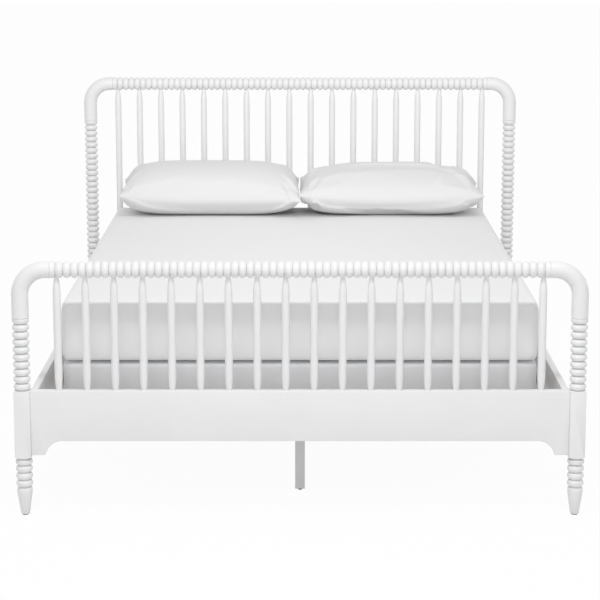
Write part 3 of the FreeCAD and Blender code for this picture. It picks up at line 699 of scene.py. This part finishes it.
# how far soft pieces keep off what they touch
softGap = 0.0002
pillows = {
    "along": 110, "across": 70, "seam": 0.072, "spare": 0.004, "pull": 0.019, "innerPull": 0.1,
    "pullFade": 3, "lean": 0.14, "fullAlong": 4.8, "fullAcross": 2.3, "underAcross": 1.5,
    "under": 1.06, "pressure": 1.6, "frames": 16, "cap": 0.006, "spareCloth": 0.03,
    "rimFade": 10, "heldAlong": 0.035, "heldAcross": 0.03, "halfGap": 0.0007,
    "foldAlong": 0.34, "foldAcross": 0.20, "foldFade": 0.2,
}
# turned is a share of the depth, and crown is how far the top stands over the box
pillowPlaces = {
    "left": {"middle": -0.3425, "halfLength": 0.338, "turned": -0.020, "crown": 0.001},
    "right": {"middle": 0.3455, "halfLength": 0.3425, "turned": 0.010, "crown": -0.004},
}
# heights of the four corner tips above the mattress: front left, front right, rear left, rear right
pillowCorners = {"left": (0.089, 0.069, 0.098, 0.105), "right": (0.091, 0.088, 0.106, 0.082)}
# soft folds, each from one point of the case to another (along, across), with its height and half width
pillowFolds = {
    "left": [
        (-0.99, -0.80, -0.78, -0.25, 0.008, 0.012), (-0.99, 0.75, -0.74, 0.30, 0.009, 0.013),
        (-0.97, 0.20, -0.80, 0.05, -0.006, 0.011), (0.99, -0.80, 0.76, -0.40, 0.009, 0.011),
        (0.98, -0.25, 0.80, 0.00, -0.007, 0.010), (0.98, 0.60, 0.76, 0.35, 0.009, 0.012),
    ],
    "right": [
        (-0.99, 0.62, -0.70, 0.78, 0.014, 0.010), (-0.99, 0.28, -0.74, 0.52, -0.012, 0.009),
        (-0.99, 0.00, -0.76, 0.26, 0.012, 0.010), (-0.98, -0.40, -0.78, -0.10, -0.009, 0.010),
        (-0.98, -0.85, -0.74, -0.45, 0.010, 0.012), (0.99, 0.50, 0.74, 0.80, 0.014, 0.010),
        (0.98, 0.18, 0.70, 0.52, -0.012, 0.009), (0.98, -0.12, 0.76, 0.20, 0.010, 0.010),
        (0.97, -0.60, 0.68, -0.45, 0.008, 0.012), (0.50, -0.85, 0.60, -0.35, 0.009, 0.010),
    ],
}


def runCloth(piece, values, held):
    # fills the piece with pressure for a few frames and applies it; no point moves by more than the cap
    start = [vertex.co.copy() for vertex in piece.data.vertices]
    only(piece)
    cloth = piece.modifiers.new("Cloth", "CLOTH")
    settings = cloth.settings
    settings.quality = clothFill["quality"]
    settings.mass = clothFill["mass"]
    settings.tension_stiffness = clothFill["stretch"]
    settings.compression_stiffness = clothFill["stretch"]
    settings.shear_stiffness = clothFill["shear"]
    settings.bending_stiffness = clothFill["bend"]
    settings.use_pressure = True
    settings.uniform_pressure_force = values["pressure"]
    settings.shrink_min = -values.get("spareCloth", 0)
    settings.effector_weights.gravity = 0
    group = piece.vertex_groups.new(name="held")
    group.add(held, 1.0, "REPLACE")
    settings.vertex_group_mass = "held"
    cloth.collision_settings.use_collision = False
    cloth.point_cache.frame_start = 1
    cloth.point_cache.frame_end = values["frames"]
    for number in range(1, values["frames"] + 1):
        bpy.context.scene.frame_set(number)
    bpy.ops.object.modifier_apply(modifier=cloth.name)
    bpy.context.scene.frame_set(1)
    piece.vertex_groups.clear()
    for vertex, before in zip(piece.data.vertices, start):
        move = vertex.co - before
        if move.length > values["cap"]:
            vertex.co = before + move * (values["cap"] / move.length)
    return piece


def makeBlock(values, name):
    # a mattress or box spring: a rounded block, remeshed, with its rims held and its faces filled out
    boxLow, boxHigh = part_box(values["node"])
    inset = Vector(values["inset"])
    low, high = boxLow + inset, boxHigh - inset
    deselectAll()
    bpy.ops.mesh.primitive_cube_add(size=1, location=(low + high) / 2)
    piece = nameNew(name)
    piece.scale = high - low
    settle(piece)
    selectEdges(piece, lambda one, two: abs(one.z - two.z) > block["levelGap"])
    bpy.ops.mesh.bevel(offset=values["corner"], segments=block["cornerSteps"], profile=0.5)
    selectEdges(piece, lambda one, two: abs(one.z - two.z) < block["levelGap"])
    bpy.ops.mesh.bevel(offset=values["edge"], segments=block["edgeSteps"], profile=0.5)
    objectMode()
    applyModifier(piece, "REMESH", mode="VOXEL", voxel_size=values["voxel"])
    held = []
    for vertex in piece.data.vertices:
        place = vertex.co
        toRim = min(place.z - low.z, high.z - place.z)
        toSide = min(place.x - low.x, high.x - place.x, place.y - low.y, high.y - place.y)
        if toRim < values["pinned"] and toSide < values["pinned"]:
            held.append(vertex.index)
    runCloth(piece, values, held)
    for vertex in piece.data.vertices:
        vertex.co.z = min(max(vertex.co.z, boxLow.z + softGap), boxHigh.z - softGap)
    applyModifier(piece, "SMOOTH", factor=0.5, iterations=1)
    return smooth(piece, smoothing["blocks"])


def pillowPoint(along, across, top, low, high, side):
    # where a point of the flat case lies on the filled pillow, along and across from -1 to 1
    frontLeft, frontRight, rearLeft, rearRight = pillowCorners[side]
    own = pillowPlaces[side]
    right, rear = (along + 1) / 2, (across + 1) / 2
    front = frontLeft * (1 - right) + frontRight * right
    back = rearLeft * (1 - right) + rearRight * right
    atCorner = (along * across) ** 2
    seam = pillows["seam"] + (front * (1 - rear) + back * rear - pillows["seam"]) * atCorner
    pull = pillows["pull"]
    y = across * ((high.y - low.y) / 2 - pull * (1 - along * along))
    inner = along > 0 if side == "left" else along < 0
    drawnIn = math.copysign(pull * (1 - across * across) * abs(along) ** pillows["pullFade"], along)
    drawnIn *= pillows["innerPull"] if inner else 1
    x = own["middle"] + along * (own["halfLength"] + pillows["spare"]) - drawnIn + own["turned"] * y
    leant = across - pillows["lean"] * (1 - across * across)
    ends = (1 - abs(along) ** pillows["fullAlong"]) ** 0.5
    if top:
        swell = ends * (1 - abs(leant) ** pillows["fullAcross"]) ** 0.5
        height = seam + (high.z - low.z + own["crown"] - seam) * swell
    else:
        swell = ends * (1 - abs(across) ** pillows["underAcross"]) ** 0.5
        height = seam * (1 - min(1, pillows["under"] * swell))
    return Vector((x, (low.y + high.y) / 2 + y, low.z + height))


def foldHeight(along, across, folds):
    # how far the folds lift or sink the case at one point
    scaleX, scaleY, fadeOut = pillows["foldAlong"], pillows["foldAcross"], pillows["foldFade"]
    total = 0
    for startX, startY, endX, endY, height, width in folds:
        runX, runY = (endX - startX) * scaleX, (endY - startY) * scaleY
        offX, offY = (along - startX) * scaleX, (across - startY) * scaleY
        length = math.hypot(runX, runY)
        share = (offX * runX + offY * runY) / length ** 2
        aside = (offX * runY - offY * runX) / length
        fade = max(0.0, 1 - (2 * min(max(share, -fadeOut), 1 + fadeOut) - 1) ** 2)
        total += height * fade * math.exp(-((aside / width) ** 2))
    return total


def isCorner(place, low, high):
    # the last few centimetres of the case at its four tips
    nearEnd = min(place.x - low.x, high.x - place.x) < pillows["heldAlong"]
    nearSide = min(place.y - low.y, high.y - place.y) < pillows["heldAcross"]
    return nearEnd and nearSide


def makePillowSheet(side, top, low, high):
    # the upper or lower half of the case, with its grid closer towards the rim
    deselectAll()
    bpy.ops.mesh.primitive_grid_add(x_subdivisions=pillows["along"], y_subdivisions=pillows["across"], size=2)
    sheet = bpy.context.object
    fade = pillows["rimFade"]
    for vertex in sheet.data.vertices:
        along = math.sin(vertex.co.x * math.pi / 2)
        across = math.sin(vertex.co.y * math.pi / 2)
        place = pillowPoint(along, across, top, low, high, side)
        if top:
            rim = (1 - along ** fade) * (1 - across ** fade)
            place.z += foldHeight(along, across, pillowFolds[side]) * rim
        vertex.co = place
    return sheet


def makePillow(side):
    # a case of two sheets sewn along the rim, filled, with folds drawn from its corners
    low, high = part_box(f"pillow_{side}")
    sheets = [makePillowSheet(side, top, low, high) for top in (True, False)]
    piece = outwards(joinPieces(sheets, "pillow" + side.title()))
    held = [vertex.index for vertex in piece.data.vertices if isCorner(vertex.co, low, high)]
    runCloth(piece, pillows, held)
    applyModifier(piece, "SMOOTH", factor=0.5, iterations=1)
    halfGap = pillows["halfGap"]
    for vertex in piece.data.vertices:
        # the pillows rest on the mattress and press flat against each other
        vertex.co.z = max(vertex.co.z, low.z + softGap)
        vertex.co.x = min(vertex.co.x, -halfGap) if side == "left" else max(vertex.co.x, halfGap)
    applyModifier(piece, "SUBSURF", levels=1, render_levels=1)
    return smooth(piece, smoothing["pillows"])


mattressPiece = makeBlock(mattress, "mattressBlock")
dress(mattressPiece, sheetWhite, "mattress", ["mattress"])
print("mattress ready")
boxPiece = makeBlock(boxSpring, "boxSpringBlock")
dress(boxPiece, shadedBoxWhite, "box_spring", ["box_spring"])
print("box spring ready")
for side in ("left", "right"):
    pillowPiece = makePillow(side)
    dress(pillowPiece, shadedPillowWhite, f"pillow_{side}", [f"pillow_{side}"])
    print("pillow", side, "ready")


def hardwareMaterial(name):
    # fasteners, brackets and feet keep the frame's own shape; other nodes are replaced
    if "bracket" in name or name.endswith(("screws", "bolts", "inserts")):
        return zinc
    if name.startswith("levelling_stud"):
        return zinc
    if name.startswith("levelling_pad") or name == "post_glides":
        return blackPlastic
    return pineAcross if name == "joint_dowels" else None


for name, node in nodes.items():
    material = hardwareMaterial(name)
    if material:
        node.data.materials.clear()
        node.data.materials.append(material)
print("hardware ready")


# focal and frameWidth are in pixels, angles in degrees, power in watts
studio = {
    "camera": (0.0, -6.78, 1.7905), "tilt": 11.23, "focal": 1998.3, "frameWidth": 600,
    "sensorWidth": 36, "clip": (0.1, 100),
    "frontLight": {"place": (0, -6.4, 3.0), "aim": (0, 0.4, 0.7), "size": (3.2, 2.4), "power": 24},
    "stripLight": {"place": (0, -2.6, 3.6), "aim": (0, -0.7, 0.5), "size": (2.2, 0.5), "power": 57},
    "headLight": {"place": (0, -3.6, 2.5), "aim": (0, 1.05, 1.2), "cone": 32, "blend": 0.7,
                  "radius": 0.35, "power": 145},
    "ambient": 0.60, "floorGlow": 0.96, "floorSize": 60, "floorColor": (0.9, 0.9, 0.9),
    "floorRoughness": 0.9,
}


def makeCamera():
    bpy.ops.object.camera_add(location=studio["camera"], rotation=(math.radians(90 - studio["tilt"]), 0, 0))
    camera = bpy.context.object
    camera.name = "photoCamera"
    camera.data.sensor_width = studio["sensorWidth"]
    camera.data.lens = studio["focal"] / studio["frameWidth"] * studio["sensorWidth"]
    camera.data.clip_start, camera.data.clip_end = studio["clip"]
    bpy.context.scene.camera = camera


def makeLight(name, values):
    # an area lamp where it has a size, a soft spot lamp where it has a cone
    bpy.ops.object.light_add(type="SPOT" if "cone" in values else "AREA", location=values["place"])
    light = bpy.context.object
    light.name = name
    light.data.energy = values["power"]
    if "cone" in values:
        light.data.spot_size = math.radians(values["cone"])
        light.data.spot_blend = values["blend"]
        light.data.shadow_soft_size = values["radius"]
    else:
        light.data.shape = "RECTANGLE"
        light.data.size, light.data.size_y = values["size"]
    direction = Vector(values["aim"]) - Vector(values["place"])
    light.rotation_euler = direction.to_track_quat("-Z", "Y").to_euler()


def backgroundShare(tree):
    # 1 for the rays that show the background: straight to the camera, by a gloss or through glass
    path = tree.nodes.new("ShaderNodeLightPath")
    share = path.outputs["Is Camera Ray"]
    for ray in ("Is Glossy Ray", "Is Transmission Ray"):
        share = combine(tree, "MAXIMUM", share, path.outputs[ray])
    return share


def makeWorld():
    world = bpy.data.worlds.new("studioWorld")
    bpy.context.scene.world = world
    world.use_nodes = True
    tree = world.node_tree
    background = tree.nodes["Background"]
    background.inputs["Color"].default_value = (1, 1, 1, 1)
    strength = spread(tree, backgroundShare(tree), (studio["ambient"], 1.0))
    tree.links.new(strength, background.inputs["Strength"])


def mixShaders(tree, share, first, second):
    mix = tree.nodes.new("ShaderNodeMixShader")
    tree.links.new(share, mix.inputs["Fac"])
    tree.links.new(first, mix.inputs[1])
    tree.links.new(second, mix.inputs[2])
    return mix.outputs["Shader"]


def makeFloor():
    deselectAll()
    bpy.ops.mesh.primitive_plane_add(size=studio["floorSize"], location=(0, 0, 0))
    floor = bpy.context.object
    floor.name = "studioFloor"
    material = bpy.data.materials.new("paleFloor")
    material.use_nodes = True
    tree = material.node_tree
    shader = tree.nodes["Principled BSDF"]
    shader.inputs["Base Color"].default_value = (*studio["floorColor"], 1)
    shader.inputs["Roughness"].default_value = studio["floorRoughness"]
    glow = addNode(tree, "ShaderNodeEmission", Strength=1.0)
    glowShare = spread(tree, backgroundShare(tree), (0.0, studio["floorGlow"]))
    lit = mixShaders(tree, glowShare, shader.outputs["BSDF"], glow.outputs["Emission"])
    # from below the floor is clear, so that the underside can be looked at
    below = tree.nodes.new("ShaderNodeNewGeometry").outputs["Backfacing"]
    clear = tree.nodes.new("ShaderNodeBsdfTransparent").outputs["BSDF"]
    surface = mixShaders(tree, below, lit, clear)
    tree.links.new(surface, tree.nodes["Material Output"].inputs["Surface"])
    floor.data.materials.append(material)


makeCamera()
for lamp in ("frontLight", "stripLight", "headLight"):
    makeLight(lamp, studio[lamp])
makeWorld()
makeFloor()
bpy.context.scene.view_settings.view_transform = "Standard"
print("studio ready")
